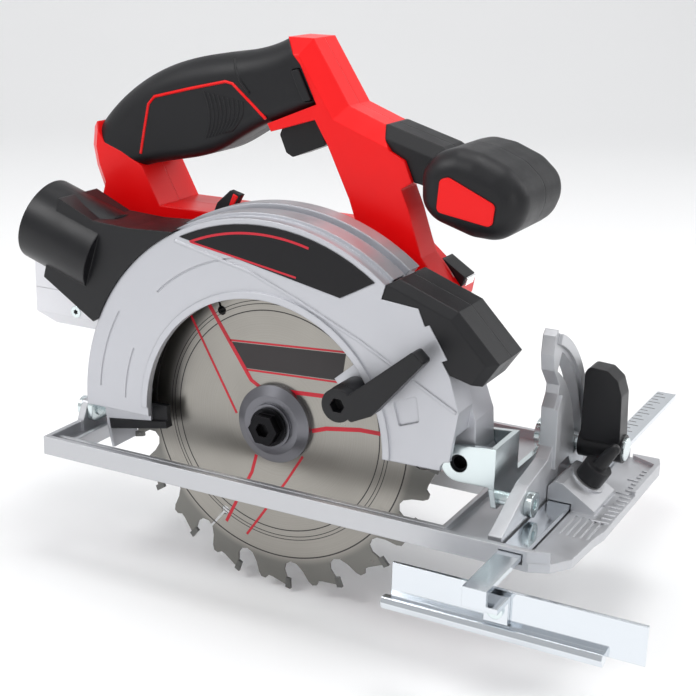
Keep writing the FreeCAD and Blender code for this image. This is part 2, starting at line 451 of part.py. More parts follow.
write("battery_case_upper", battery.common(box(-300, 0, 0, 200, battery_seam + 0.1, 200)))
write("battery_button", box(-162.0, -156.5, 50.4, 77.6, 78.4, 91.6))

for part_name, solid in (("handle_shell", shell), ("grip", grip)):
    write(part_name + "_near", solid.common(near_half))
    write(part_name + "_far", solid.common(far_half))

write("switch_body", box(-46, -24, HANDLE_Y - 9, HANDLE_Y + 9, 166, 181))

# ---------------------------------------------------------------- front handle
ARM_NEAR, ARM_FAR, KNOB_NEAR, KNOB_FAR = HANDLE_Y - 15, HANDLE_Y + 15, HANDLE_Y - 28, HANDLE_Y + 28
arm = prism_y([(34.6, 163.7), (36.0, 163.7), (62.0, 156.2), (72.0, 148.0), (68.0, 137.0), (51.1, 140.5),
               (47.1, 149.6), (40.1, 153.1), (37.1, 157.1)], ARM_NEAR, ARM_FAR)
arm = arm.makeChamfer(5.0, [e for e in arm.Edges if (in_plane_y(ARM_NEAR)(e) or in_plane_y(ARM_FAR)(e))
                            and e.CenterOfMass.z > 155 and e.Length > 15])
knob = prism_y([(58.0, 133.0), (64.0, 126.5), (82.0, 121.0), (94.5, 120.5), (103.0, 127.0), (106.5, 136.0),
                (105.0, 144.5), (96.5, 152.0), (84.0, 157.0), (73.5, 158.5), (64.5, 156.0), (57.5, 148.5)],
               KNOB_NEAR, KNOB_FAR, 14.0)
knob = knob.makeFillet(10.0, [e for e in knob.Edges if in_plane_y(KNOB_NEAR)(e) or in_plane_y(KNOB_FAR)(e)])
INLAY = [(69.0, 145.8), (73.0, 147.0), (94.5, 137.5), (93.5, 127.8), (68.0, 131.8)]
inlays = Part.makeCompound([prism_y(INLAY, KNOB_NEAR - 0.5, KNOB_NEAR + 1.5, 2.5),
                            prism_y(INLAY, KNOB_FAR - 1.5, KNOB_FAR + 0.5, 2.5)])
seats = Part.makeCompound([prism_y(INLAY, KNOB_NEAR - 1, KNOB_NEAR + 1.6, 2.5),
                           prism_y(INLAY, KNOB_FAR - 1.6, KNOB_FAR + 1, 2.5)])
front_handle = fuse(arm, knob).cut(seats)
core_space = prism_y([(66, 136), (84, 128), (98, 128), (103, 138), (94, 150), (76, 154), (66, 151)],
                     HANDLE_Y - 24, HANDLE_Y + 24, 3)
front_handle = front_handle.cut(core_space)
write("front_handle_near", front_handle.common(near_half))
write("front_handle_far", front_handle.common(far_half))
write("front_handle_inlays", inlays)
LAMP = [(54.0, 101.5), (58.5, 105.5), (71.0, 97.5), (70.0, 93.5), (66.0, 90.0)]
lamp = prism_y(LAMP, HANDLE_Y, HANDLE_Y + 11)
write("work_lamp", lamp.cut(prism_y(FRONT_EDGE + REAR_EDGE + GAP_EDGE, NEAR, FAR)))

# ---------------------------------------------------------------- depth clamp and spindle lock
CLAMP_X, CLAMP_Z = polar(DEPTH_SLOT_R, DEPTH_REST, DEPTH_X, DEPTH_Z)
ARM_Y0, ARM_Y1 = 15.2, 18.2
depth_arm = fuse(sector_y(128, 142, 145.5, 184, ARM_Y0, ARM_Y1, DEPTH_X, DEPTH_Z),
                 prism_y([(-52.5, 18.5), (-36.5, 21.0), (-40.0, 8.5), (-104.0, 8.5), (-107.5, 12.0),
                          (-107.5, 19.5)], ARM_Y0, ARM_Y1))
depth_arm = depth_arm.cut(sector_y(DEPTH_SLOT_R - 3.3, DEPTH_SLOT_R + 3.3, DEPTH_REST - DEPTH_RANGE - 1.6,
                                   DEPTH_REST + 1.6, 0, 30, DEPTH_X, DEPTH_Z))
rear_ear = [(-1.0, 8.5), (ARM_Y1, 8.5), (ARM_Y1, 19.5), (-1.0, 19.5)]
depth_arm = fuse(depth_arm, prism_x(rear_ear, -107.5, -104.5, 3.0))
depth_arm = depth_arm.cut(cyl_x(BEVEL_Y, BEVEL_Z, 3.0 + RUN, -120, -90))
write("depth_arm", depth_arm)
write("depth_clamp_bolt", cyl_y(CLAMP_X, CLAMP_Z, 3.0, GUARD_Y1, 24.5))
depth_lever = fuse(ring_y(CLAMP_X, CLAMP_Z, 3.0 + RUN, 8.0, 18.8, 24.2),
                   prism_y([(CLAMP_X - 5.5, CLAMP_Z + 4.5), (CLAMP_X + 3.5, CLAMP_Z + 6.5), (-46.5, 92.0),
                            (-37.0, 118.0), (-32.0, 127.0), (-38.0, 128.5), (-45.0, 122.0),
                            (-56.0, 96.0)], 20.8, 24.0))
write("depth_lever", depth_lever)
write("spindle_lock_button", fuse(cyl_x(LOCK_Y, ARBOR_Z, 1.6, 3.7 + LOCK_TRAVEL, 30.0),
                                  cyl_x(LOCK_Y, ARBOR_Z, 4.5, 27.0, 33.0)))

# ---------------------------------------------------------------- bevel bracket, quadrant and lever
EAR_T = 2.5
ears = [fuse(cyl_y(DEPTH_X, DEPTH_Z, 8.3, y, y + EAR_T),
             prism_y([(92.0, 37.3), (108.5, 38.5), (108.5, 20.9), (92.0, 20.7)], y, y + EAR_T))
        for y in (-3.3, 21.9)]
bracket = fuse(*ears,
               prism_x([(-3.3, 38.5), (24.4, 38.5), (24.4, 20.5), (56.0, 20.0), (60.0, 31.0),
                        (70.0, 32.0), (75.0, 26.0), (72.0, 15.0), (58.0, 9.8), (1.0, 9.8),
                        (-3.3, 20.0)], 106.0, 108.5, 1.5))
bracket = bracket.cut(cyl_y(DEPTH_X, DEPTH_Z, 4.0, -10, 30))
bolt_y, bolt_z = polar(BEVEL_SLOT_R, BEVEL_REST, BEVEL_Y, BEVEL_Z)
bracket = bracket.cut(cyl_x(BEVEL_Y, BEVEL_Z, 3.0 + RUN, 100, 112)).cut(cyl_x(bolt_y, bolt_z, 4.0, 100, 112))
write("tilt_bracket", bracket)
write("depth_pin", cyl_y(DEPTH_X, DEPTH_Z, 4.0, -1.6, 24.4).cut(cyl_y(DEPTH_X, DEPTH_Z, 2.9, -4, 3)))
front_screw = fuse(cyl_x(BEVEL_Y, BEVEL_Z, 3.0, 105.0, 121.2), cyl_x(BEVEL_Y, BEVEL_Z, 5.5, 121.1, 124.3))
front_screw = front_screw.cut(cyl_x(BEVEL_Y, BEVEL_Z, 2.4, 122.6, 126))
rear_screw = fuse(cyl_x(BEVEL_Y, BEVEL_Z, 3.0, -111.5, -103.5), cyl_x(BEVEL_Y, BEVEL_Z, 5.0, -114.5, -111.4))
write("bevel_screws", Part.makeCompound([front_screw, rear_screw]))
write("bevel_bolt", fuse(cyl_x(bolt_y, bolt_z, 4.0, 105.9, 143.0), cyl_x(bolt_y, bolt_z, 7.0, 102.6, 105.9),
                         cyl_x(bolt_y, bolt_z, 7.5, 108.6, 114.7)))

QX0, QX1 = 115.0, 121.0
STRAP_Y, STRAP_SCREW = (61.5, 71.5), (127.1, 66.5)
quadrant = [(27.0, 82.5), (29.5, 84.6)] + [polar(73.5, a, BEVEL_Y, BEVEL_Z) for a in range(70, 1, -4)]
quadrant += [(78.0, 8.0), (78.0, SOLE_T), (-24.0, SOLE_T), (-24.0, 9.5), (-10.0, 15.5), (5.0, 22.0),
             (28.0, 26.0), (33.0, 31.0), (31.5, 48.5), (35.5, 54.0), (36.0, 58.0), (28.0, 66.5), (26.0, 74.0)]
quadrant = prism_x(quadrant, QX0, QX1)
quadrant = quadrant.cut(sector_x(BEVEL_SLOT_R - 4.4, BEVEL_SLOT_R + 4.4, BEVEL_REST - 4.3,
                                 BEVEL_REST + BEVEL_RANGE + 4.3, QX0 - 1, QX1 + 1))
quadrant = quadrant.cut(prism_x([(40, 10.5), (62, 10.5), (56, 18.5), (43.5, 18.5)], QX0 - 1, QX1 + 1, 1.5))
quadrant = fuse(quadrant, box(QX0, 135.5, *STRAP_Y, 7.4, 9.8), box(132.8, 135.5, *STRAP_Y, SOLE_T, 9.8),
                prism_x([(33.0, 20.0), (38.0, 20.0), (36.5, 53.5), (31.5, 48.0)], QX0, QX1 + 1.6),
                sector_x(68.8, 73.5, 6.0, 69.0, QX0, QX1 + 1.6))
quadrant = quadrant.cut(cyl_x(BEVEL_Y, BEVEL_Z, 3.0, 110, 130))
quadrant = quadrant.cut(cyl_z(*STRAP_SCREW, 2.0, 7, 11))
write("bevel_quadrant", quadrant)
hub = cyl_x(bolt_y, bolt_z, 6.6, QX1 + 2.1, 143.5)
LEVER = [(124.4, 26.0), (124.4, 57.5), (126.0, 60.5), (134.5, 60.0), (139.5, 56.0), (141.8, 49.0),
         (142.8, 26.0)]
lever_plate = prism_y(LEVER, bolt_y - 6.6, bolt_y - 1.6, 2.5)
lever_rim = prism_y(LEVER, bolt_y - 2.0, bolt_y + 4.4, 2.5)
lever_rim = lever_rim.cut(prism_y([(127.0, 31.0), (127.0, 56.0), (134.0, 57.0), (138.5, 49.0), (139.3, 31.0)],
                                  bolt_y - 1.5, bolt_y + 9, 1.0))
bevel_lever = fuse(hub, lever_plate, lever_rim).cut(cyl_x(bolt_y, bolt_z, 4.0 + RUN, 100, 143.2))
write("bevel_lever", bevel_lever.cut(cyl_x(bolt_y, bolt_z, 5.4, 142.6, 150)))
write("bevel_lever_cap", cyl_x(bolt_y, bolt_z, 5.3, 143.3, 144.6))

# ---------------------------------------------------------------- sole plate
outline = [(SOLE_X0, SOLE_Y0), (135.0, SOLE_Y0), (143.0, -26.0), (149.0, -17.0), (150.5, 7.0), (152.0, 16.0),
           (SOLE_X1, 100.0), (150.0, 106.0), (137.0, 106.0), (130.0, SOLE_Y1), (SOLE_X0, SOLE_Y1)]
sole = prism_z(outline, 0.0, SOLE_T)
corner_rim = [(138.0, 103.6), (151.0, 97.0), (151.9, 98.5), (151.9, 100.1), (150.0, 105.9), (137.0, 105.9)]
near_corner = [(134.0, SOLE_Y0), (143.0, -26.0), (141.5, -24.0), (134.0, SOLE_Y0 + WALL_T)]
LIP_H, LIP_T = 7.0, 2.2
walls = [box(SOLE_X0, 134.0, SOLE_Y0, SOLE_Y0 + WALL_T, 0, WALL_H),
         box(SOLE_X0, 136.0, SOLE_Y1 - WALL_T, SOLE_Y1, 0, WALL_H),
         box(SOLE_X0, SOLE_X0 + WALL_T, SOLE_Y0, SOLE_Y1, 0, WALL_H),
         box(149.8, SOLE_X1, 60.0, 100.0, 0, 6.0),
         prism_z(corner_rim, 0, 6.0),
         prism_z(near_corner, 0, WALL_H),
         box(SLOT_X0 - 10, SLOT_X1, SLOT_Y1, SLOT_Y1 + LIP_T, 0, 7.5),
         box(SOLE_X0, SLOT_X1 + LIP_T, SLOT_Y0 - LIP_T, SLOT_Y0, 0, LIP_H),
         box(SLOT_X1, SLOT_X1 + LIP_T, SLOT_Y0 - LIP_T, SLOT_Y1 + LIP_T, 0, LIP_H),
         box(SLOT_X0 - LIP_T, SLOT_X0, SLOT_Y0 - LIP_T, SLOT_Y1 + LIP_T, 0, LIP_H)]
walls += [box(x, x + 2.0, SLOT_Y1, SOLE_Y1, 0, 7.0) for x in (-70.0, -30.0, 10.0, 50.0)]
slot_corners = [(SLOT_X0, SLOT_Y0), (SLOT_X1, SLOT_Y0), (SLOT_X1, SLOT_Y1), (SLOT_X0, SLOT_Y1)]
sole = fuse(sole, *walls).cut(prism_z(slot_corners, -1, 12, 4.0))
CH_X0, CH_X1 = 121.8, 132.4
rear_lug = [(-4.0, 0.0), (14.0, 0.0), (14.0, 10.0), (9.5, 19.0), (0.5, 19.0), (-4.0, 10.0)]
rear_lug = prism_x(rear_lug, -111.4, -107.8, 2.0)
saddle = [(CH_X0 - 0.4, 13.5), (124.5, 16.5), (128.0, 15.8), (143.0, 6.0), (143.0, 0.0), (CH_X0 - 0.4, 0.0)]
saddle = prism_y(saddle, 29.0, 58.0)
KNOB_AXIS = V(0.5, 0, 0.866)
KNOB_BASE = V(133.5, 47.5, 12.6)
saddle_boss = Part.makeCylinder(8.2, 8.0, KNOB_BASE - KNOB_AXIS * 7.4, KNOB_AXIS)
sole = fuse(sole, rear_lug, saddle.cut(box(QX0 - 1, QX1 + 0.3, 0, 100, SOLE_T - 0.1, 30)), saddle_boss)
sole = sole.cut(box(CH_X0, CH_X1, -40, 120, 2.6, 7.3))
slots = [box(x, x + 1.2, 4, 26, SOLE_T - 0.6, SOLE_T + 1) for x in (136.0, 139.0, 142.0, 145.0, 148.0)]
sole = sole.cut(Part.makeCompound(slots)).cut(cyl_x(BEVEL_Y, BEVEL_Z, 3.0, -120, -100))
sole = sole.cut(Part.makeCylinder(2.5 + RUN, 20.0, KNOB_BASE - KNOB_AXIS * 6.3, KNOB_AXIS))
write("sole_plate", sole)
quadrant_screw = fuse(cyl_z(*STRAP_SCREW, 2.0, 7.4, 9.9), cyl_z(*STRAP_SCREW, 3.6, 9.8, 12.0))
write("quadrant_screw", quadrant_screw.cut(box(126.6, 127.6, 60, 76, 11.2, 13)))

# ---------------------------------------------------------------- rip fence
RAIL_Z0, RAIL_Z1, RAIL_X0, RAIL_X1 = 4.6, 7.0, 122.1, 132.1
rail = fuse(box(RAIL_X0, RAIL_X1, -67.0, 201.0, RAIL_Z0, RAIL_Z1),
            box(RAIL_X0, RAIL_X1, -67.0, -64.8, -1.5, RAIL_Z1),
            box(127.0, 137.0, -67.0, -53.2, -1.5, 0.7), box(127.0, 137.0, -55.4, -53.2, -11.5, 0.7))
write("fence_rail", rail.cut(cyl_y(132, -6.0, 2.0, -60, -50)))
fence_lip = [(-51.4, -14.0), (-53.0, -12.6), (-57.0, -12.0), (-58.2, -14.5), (-56.8, -17.6), (-52.6, -17.2)]
plate = fuse(box(86.0, 191.0, -53.0, -51.4, -14.5, 2.0), prism_x(fence_lip, 83.5, 176.0, 0.8))
write("fence_plate", plate.cut(cyl_y(132, -6.0, 2.0, -60, -40)))
write("fence_rivet", fuse(cyl_y(132, -6.0, 1.95, -56.0, -49.8), cyl_y(132, -6.0, 3.2, -56.8, -55.4),
                          cyl_y(132, -6.0, 3.2, -51.3, -50.0)))
screw = Part.makeCylinder(2.5, 13.2, KNOB_BASE - KNOB_AXIS * 5.1, KNOB_AXIS)
knob_top = Part.makeCylinder(6.5, 8.0, KNOB_BASE + KNOB_AXIS * 0.9, KNOB_AXIS)
arm_from = KNOB_BASE + KNOB_AXIS * 6.0
arm_to = V(143.5, 50.0, 28.0)
arm_dir = arm_to - arm_from
knob_arm = Part.makeCone(3.6, 2.6, arm_dir.Length, arm_from, arm_dir)
write("fence_knob", fuse(knob_top, knob_arm, Part.makeSphere(2.7, arm_to), screw))
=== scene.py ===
import json
import math
import bpy
from mathutils import Matrix, Vector


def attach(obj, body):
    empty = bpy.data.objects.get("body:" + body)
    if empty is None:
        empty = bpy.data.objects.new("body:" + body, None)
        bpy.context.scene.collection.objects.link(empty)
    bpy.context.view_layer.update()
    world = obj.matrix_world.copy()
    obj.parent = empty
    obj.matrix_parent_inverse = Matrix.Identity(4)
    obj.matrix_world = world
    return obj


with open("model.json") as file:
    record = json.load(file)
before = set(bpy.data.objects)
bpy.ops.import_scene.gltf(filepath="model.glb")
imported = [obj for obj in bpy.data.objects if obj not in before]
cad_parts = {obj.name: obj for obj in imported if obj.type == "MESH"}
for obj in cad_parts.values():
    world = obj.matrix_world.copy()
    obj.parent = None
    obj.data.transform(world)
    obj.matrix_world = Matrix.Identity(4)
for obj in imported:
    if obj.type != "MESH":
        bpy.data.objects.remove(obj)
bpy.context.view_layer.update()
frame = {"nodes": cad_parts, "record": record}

# %% [markdown]
# # A cordless circular saw, finished for a studio render
# The shapes come from the CAD frame in metres: X is forwards, Y points away from the blade, Z is up.
# This script adds what a designer draws last: the finishes, the printed marks, the piping and the small trim.
# The prints and trim are thin solids, because a solid edge catches light where flat colour would not.

# %% Shared sizes
MM = 0.001
ARBOR = (0.0, 28.5)          # the blade's axis in X and Z, mm
BLADE_FACE = 0.25            # Y of the blade's near face, mm
GUARD_FACE = -14.5           # Y of the badge's near face, mm
GRIP_FACE = 27.0             # Y of the handle's near face, mm
INK = 0.05                   # how far a print stands proud of its surface and sinks into it, mm
print("nodes in the frame:", len(frame["nodes"]))

# %% [markdown]
# ## Helpers for colour, shader nodes and solids
# Paint and plastic colours are written as screen hex values, so one function turns them into linear light.
# Shader trees are all built by one function that adds a node, sets it and joins its inputs.
# A print, a rib or a border is a flat outline given a thickness, so two mesh functions cover them.

# %% Colour, node and mesh functions
def linear(code):
    """Screen hex colour to linear light."""
    parts = [int(code[i:i + 2], 16) / 255 for i in (1, 3, 5)]
    return [c / 12.92 if c <= 0.04045 else ((c + 0.055) / 1.055) ** 2.4 for c in parts] + [1.0]


def add(tree, kind, links=None, **settings):
    """Add one shader node, set its properties or inputs by name, and link its inputs."""
    node = tree.nodes.new("ShaderNode" + kind)
    for key, value in settings.items():
        if key in node.bl_rna.properties:
            setattr(node, key, value)
        else:
            node.inputs[key.replace("_", " ")].default_value = value
    for key, source in (links or {}).items():
        tree.links.new(source, node.inputs[key])
    return node


def prism(outline, y0, y1):
    """Vertices and faces of an X-Z outline carried from y0 to y1."""
    n = len(outline)
    verts = [(x, y, z) for y in (y0, y1) for x, z in outline]
    faces = [tuple(range(n)), tuple(range(2 * n - 1, n - 1, -1))]
    faces += [(i, i + n, (i + 1) % n + n, (i + 1) % n) for i in range(n)]
    return verts, faces


def ribbon(points, width, y0, y1, closed=False):
    """A flat band of the given width that follows the points in X and Z."""
    n = len(points)
    left, right = [], []
    for i in range(n):
        a = points[i - 1] if (i > 0 or closed) else points[i]
        b = points[(i + 1) % n] if (i < n - 1 or closed) else points[i]
        dx, dz = b[0] - a[0], b[1] - a[1]
        size = math.hypot(dx, dz)
        nx, nz = -dz / size * width / 2, dx / size * width / 2
        left.append((points[i][0] + nx, points[i][1] + nz))
        right.append((points[i][0] - nx, points[i][1] - nz))
    verts, faces = [], []
    for i in range(n):
        for x, z in (left[i], right[i]):
            verts += [(x, y0, z), (x, y1, z)]
    for i in range(n if closed else n - 1):
        p, q = 4 * i, 4 * ((i + 1) % n)
        faces += [(p, q, q + 2, p + 2), (p + 1, p + 3, q + 3, q + 1),
                  (p, p + 1, q + 1, q), (p + 2, q + 2, q + 3, p + 3)]
    if not closed:
        faces += [(0, 2, 3, 1), (4 * n - 4, 4 * n - 3, 4 * n - 1, 4 * n - 2)]
    return verts, faces


def sweep(points, radius, sides=10):
    """A round bead along points in three dimensions, closed at both ends."""
    verts, faces = [], []
    last = len(points) - 1
    for i, p in enumerate(points):
        along = (Vector(points[min(i + 1, last)]) - Vector(points[max(i - 1, 0)])).normalized()
        side = along.cross(Vector((0, 1, 0))).normalized()
        up = side.cross(along)
        for k in range(sides):
            a = 2 * math.pi * k / sides
            verts.append(tuple(Vector(p) + side * (radius * math.cos(a)) + up * (radius * math.sin(a))))
    for i in range(last):
        for k in range(sides):
            a, b = i * sides + k, i * sides + (k + 1) % sides
            faces.append((a, b, b + sides, a + sides))
    faces += [tuple(range(sides - 1, -1, -1)), tuple(range(len(verts) - sides, len(verts)))]
    return verts, faces


def slab(x0, x1, y0, y1, z0, z1):
    """A thin block for a score or a rib, six faces."""
    verts = [(x, y, z) for z in (z0, z1) for x, y in ((x0, y0), (x1, y0), (x1, y1), (x0, y1))]
    return verts, [(0, 3, 2, 1), (4, 5, 6, 7), (0, 1, 5, 4), (1, 2, 6, 5), (2, 3, 7, 6), (3, 0, 4, 7)]


def piece(name, solids, material, body, bevel=0.0):
    """Join solids given in mm into one bevelled object that moves with a body."""
    verts, faces = [], []
    for v, f in solids:
        faces += [tuple(i + len(verts) for i in face) for face in f]
        verts += [(x * MM, y * MM, z * MM) for x, y, z in v]
    mesh = bpy.data.meshes.new(name)
    mesh.from_pydata(verts, [], faces)
    mesh.validate()
    mesh.shade_smooth()
    mesh.set_sharp_from_angle(angle=math.radians(35))
    mesh.materials.append(material)
    thing = bpy.data.objects.new(name, mesh)
    bpy.context.scene.collection.objects.link(thing)
    if bevel:
        mod = thing.modifiers.new("edge", "BEVEL")
        mod.width, mod.segments, mod.limit_method = bevel * MM, 2, "ANGLE"
    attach(thing, body)


def arc(r, a0, a1, steps):
    """Points on an arc about the blade's axis, angles in degrees from forwards to up."""
    angles = [math.radians(a0 + (a1 - a0) * i / steps) for i in range(steps + 1)]
    return [(ARBOR[0] + r * math.cos(t), ARBOR[1] + r * math.sin(t)) for t in angles]


def rosette(centre, radii, count):
    """Points evenly round a centre, their distances taken from the radii in turn."""
    angles = [2 * math.pi * t / count for t in range(count)]
    return [(centre[0] + radii[t % len(radii)] * math.cos(a), centre[1] + radii[t % len(radii)] * math.sin(a))
            for t, a in enumerate(angles)]


print("helpers ready")

# %% [markdown]
# ## Finishes
# A saw like this mixes moulded plastics, a soft overmould, painted and bare castings, and plated sheet steel.
# Each finish starts from what the real one is, and its grain is sized in millimetres on the object itself.
# Real spark-eroded and ground textures are near 0.1 mm, too fine to show here, so most are drawn two to four
# times as coarse, with a bump of a few hundredths of a millimetre at most.
# The Bevel node rounds every sharp CAD edge in the light only, so the frame's geometry stays as it is.

# %% One builder for all finishes
GLOSSIER, DULLER = 0.9, 1.12    # how far the roughness strays either side of its middle value


def finish(name, colour, rough, metal=0.0, grain=0.4, depth=0.02, vary=0.12, edge=0.5, mottle=12.0, **fixed):
    """Principled finish: grain (mm) drives the bump, mottle (mm) the slow change of tone and gloss.

    The bump is depth mm high, vary is the spread of the tone, and edge is the radius in mm of a rounded edge.
    """
    mat = bpy.data.materials.new(name)
    mat.use_nodes = True
    tree = mat.node_tree
    tree.nodes.clear()
    place = add(tree, "TexCoord").outputs["Object"]
    fine = add(tree, "TexNoise", {"Vector": place}, Scale=1 / (grain * MM), Detail=3.0, Roughness=0.6)
    slow = add(tree, "TexNoise", {"Vector": place}, Scale=1 / (mottle * MM), Detail=4.0, Roughness=0.55)
    base = linear(colour)
    tone = add(tree, "MixRGB", {"Fac": slow.outputs["Fac"]},
               Color1=[c * (1 - vary / 2) for c in base[:3]] + [1],
               Color2=[min(1, c * (1 + vary / 2)) for c in base[:3]] + [1])
    gloss = add(tree, "MapRange", {"Value": slow.outputs["Fac"]}, From_Min=0.3, From_Max=0.7,
                To_Min=rough * GLOSSIER, To_Max=min(1, rough * DULLER))
    rounded = add(tree, "Bevel", samples=4, Radius=edge * MM)
    bump = add(tree, "Bump", {"Height": fine.outputs["Fac"], "Normal": rounded.outputs["Normal"]},
               Strength=1.0, Distance=depth * MM)
    shader = add(tree, "BsdfPrincipled", {"Base Color": tone.outputs["Color"],
                                          "Roughness": gloss.outputs["Result"],
                                          "Normal": bump.outputs["Normal"]}, Metallic=metal)
    for key, value in fixed.items():
        shader.inputs[key.replace("_", " ")].default_value = value
    add(tree, "OutputMaterial", {"Surface": shader.outputs["BSDF"]})
    return mat


print("finish builder ready")

# %% [markdown]
# ## Moulded plastic and rubber
# The red shells are injection-moulded nylon with a fine spark-eroded texture, glossy enough to hold a soft
# highlight.
# The grip is a softer rubber moulded over them, so it is darker, rougher and has a deeper grain.
# The battery case is the same kind of plastic as the shells in pale grey.

# %% Plastics and rubber
MATS = {
    # moulded nylon with an eroded skin: strong red, a soft even highlight
    "red_plastic": finish("Red moulded nylon", "#F20408", 0.32, grain=0.35, depth=0.008, vary=0.06, edge=0.9,
                          Specular_IOR_Level=0.35),
    # rubber moulded over the shells: duller than the nylon, with a grain that breaks the highlight up
    "soft_grip": finish("Soft black overmould", "#141417", 0.46, grain=0.6, depth=0.06, vary=0.25, edge=1.2,
                        Specular_IOR_Level=0.36),
    # glass-filled nylon: near black, fine even texture, pale along the edges where light catches
    "black_plastic": finish("Black textured nylon", "#131316", 0.38, grain=0.4, depth=0.03, vary=0.2, edge=0.9,
                            Specular_IOR_Level=0.38),
    # moulded in one colour, so its tone hardly varies
    "battery_plastic": finish("Pale grey battery case", "#E6E6EA", 0.4, grain=0.4, depth=0.015, vary=0.05,
                              edge=0.9),
    # film printed with a mottled black: flecks of 2 mm show close up
    "badge_film": finish("Printed badge film", "#121114", 0.42, grain=0.9, depth=0.012, vary=0.6, edge=0.2,
                         mottle=2.0, Specular_IOR_Level=0.3),
    # screen inks: thin, matt and smooth beside the metal they lie on
    "red_ink": finish("Red screen print", "#C4122A", 0.38, grain=0.3, depth=0.004, vary=0.1, edge=0.05),
    "black_ink": finish("Black screen print", "#2A2526", 0.45, grain=0.3, depth=0.004, vary=0.15, edge=0.05),
}
print("plastics:", ", ".join(MATS))

# %% [markdown]
# ## Bare and coated metal
# The guard is a die casting with silver paint; the sole is a blasted aluminium casting with a coarser,
# brighter skin.
# The bracket is bent from zinc-plated sheet, which is faintly blue and cloudy, and the fence from
# bright-plated strip.
# Metals keep the default refraction index and take their look from colour, roughness and grain.

# %% Metals
MATS.update({
    # sprayed over the casting: part metal, part lacquer, so the highlight is broad and calm
    "guard_metal": finish("Silver painted die casting", "#C6C7CC", 0.42, metal=0.75, grain=0.25, depth=0.01,
                          vary=0.06, edge=0.8),
    # shot leaves a coarse bright skin with no sharp reflection
    "cast_aluminium": finish("Blasted cast aluminium", "#C9CACD", 0.46, metal=0.9, grain=0.45, depth=0.035,
                             vary=0.1, edge=0.7),
    # lathe-turned and left dull grey
    "flange_steel": finish("Turned grey steel", "#77777C", 0.34, metal=1.0, grain=0.3, depth=0.012, vary=0.15,
                           edge=0.3),
    # a thin black conversion layer that wears unevenly; also laid on the battery screw as painted shade in its
    # recess
    "black_oxide": finish("Black oxide steel and painted recess shade", "#1C1C1E", 0.33, metal=0.9, grain=0.3, depth=0.015, vary=0.3,
                          edge=0.4),
    # brazed tips ground on a fine wheel: darker than the steel behind them
    "carbide": finish("Ground carbide", "#6C6C6A", 0.3, metal=1.0, grain=0.12, depth=0.01, vary=0.2, edge=0.1),
    # precision ground shafts, races and gears: bright and even
    "bearing_steel": finish("Ground steel", "#B4B4B8", 0.24, metal=1.0, grain=0.2, depth=0.005, vary=0.1,
                            edge=0.3),
    # stamped sheets pressed into a stack: dark and slightly rough
    "iron_stack": finish("Laminated iron", "#5A5A60", 0.45, metal=1.0, grain=0.5, depth=0.03, vary=0.2,
                         edge=0.2),
    # drawn copper, worn bright by the brushes
    "copper": finish("Commutator copper", "#C87850", 0.3, metal=1.0, grain=0.3, depth=0.01, vary=0.15,
                     edge=0.2),
    # zinc with a clear passivate: bluish, softly clouded
    "zinc_steel": finish("Zinc plated sheet", "#DCE6E7", 0.22, metal=1.0, grain=0.8, depth=0.003, vary=0.06,
                         edge=0.6, mottle=9.0),
    # bright plating over rolled strip: near a mirror, with a faint roll waviness
    "bright_plate": finish("Bright plated strip", "#DCE1E6", 0.12, metal=1.0, grain=1.2, depth=0.002, vary=0.04,
                           edge=0.5),
})
print("metals added, finishes in all:", len(MATS))

# %% [markdown]
# ## Ground blade steel
# A saw blade is ground flat on a turning table, which leaves fine rings round its axis and a stretched
# highlight.
# The rings here are noise read along the distance from the axis, so they are true circles at any zoom.
# Real grinding rings are a few hundredths of a millimetre apart, so they are drawn coarser, to show at all.
# The outer band is a little darker, because the teeth are brazed and blasted after the grinding.

# %% Blade material
RING_PITCH, CLOUD_SIZE = 0.38, 22.0           # mm
BAND_START, BAND_FULL = 0.0655, 0.0705        # radii between which the outer band darkens, m


def blade_finish():
    mat = bpy.data.materials.new("Ground blade steel")
    mat.use_nodes = True
    tree = mat.node_tree
    tree.nodes.clear()
    place = add(tree, "TexCoord").outputs["Object"]
    away = add(tree, "VectorMath", {0: place}, operation="SUBTRACT")
    away.inputs[1].default_value = (0, 0, ARBOR[1] * MM)
    flat = add(tree, "VectorMath", {0: away.outputs[0]}, operation="MULTIPLY")
    flat.inputs[1].default_value = (1, 0, 1)
    radius = add(tree, "VectorMath", {0: flat.outputs[0]}, operation="LENGTH").outputs["Value"]
    line = add(tree, "CombineXYZ", {"X": radius})
    rings = add(tree, "TexNoise", {"Vector": line.outputs[0]}, Scale=1 / (RING_PITCH * MM), Detail=4.0,
                Roughness=0.7)
    cloud = add(tree, "TexNoise", {"Vector": place}, Scale=1 / (CLOUD_SIZE * MM), Detail=3.0)
    band = add(tree, "MapRange", {"Value": radius}, interpolation_type="SMOOTHSTEP", From_Min=BAND_START,
               From_Max=BAND_FULL)
    ground = add(tree, "MixRGB", {"Fac": rings.outputs["Fac"]}, Color1=linear("#85817A"),
                 Color2=linear("#B3B0AA"))
    blasted = add(tree, "MixRGB", {"Fac": band.outputs["Result"], "Color1": ground.outputs["Color"]},
                  Color2=linear("#7C7B77"))
    rough = add(tree, "MapRange", {"Value": cloud.outputs["Fac"]}, From_Min=0.3, From_Max=0.7, To_Min=0.27,
                To_Max=0.38)
    bump = add(tree, "Bump", {"Height": rings.outputs["Fac"]}, Strength=0.5, Distance=0.004 * MM)
    spin = add(tree, "Tangent", direction_type="RADIAL", axis="Y")
    shader = add(tree, "BsdfPrincipled", {"Base Color": blasted.outputs["Color"],
                                          "Roughness": rough.outputs["Result"],
                                          "Normal": bump.outputs["Normal"],
                                          "Tangent": spin.outputs["Tangent"]}, Metallic=1.0, Anisotropic=0.55)
    add(tree, "OutputMaterial", {"Surface": shader.outputs["BSDF"]})
    return mat


MATS["blade_steel"] = blade_finish()
for sub in frame["record"]["subparts"]:
    node = frame["nodes"][sub["node"]]
    node.data.materials.clear()
    node.data.materials.append(MATS[sub["material_slot"]])

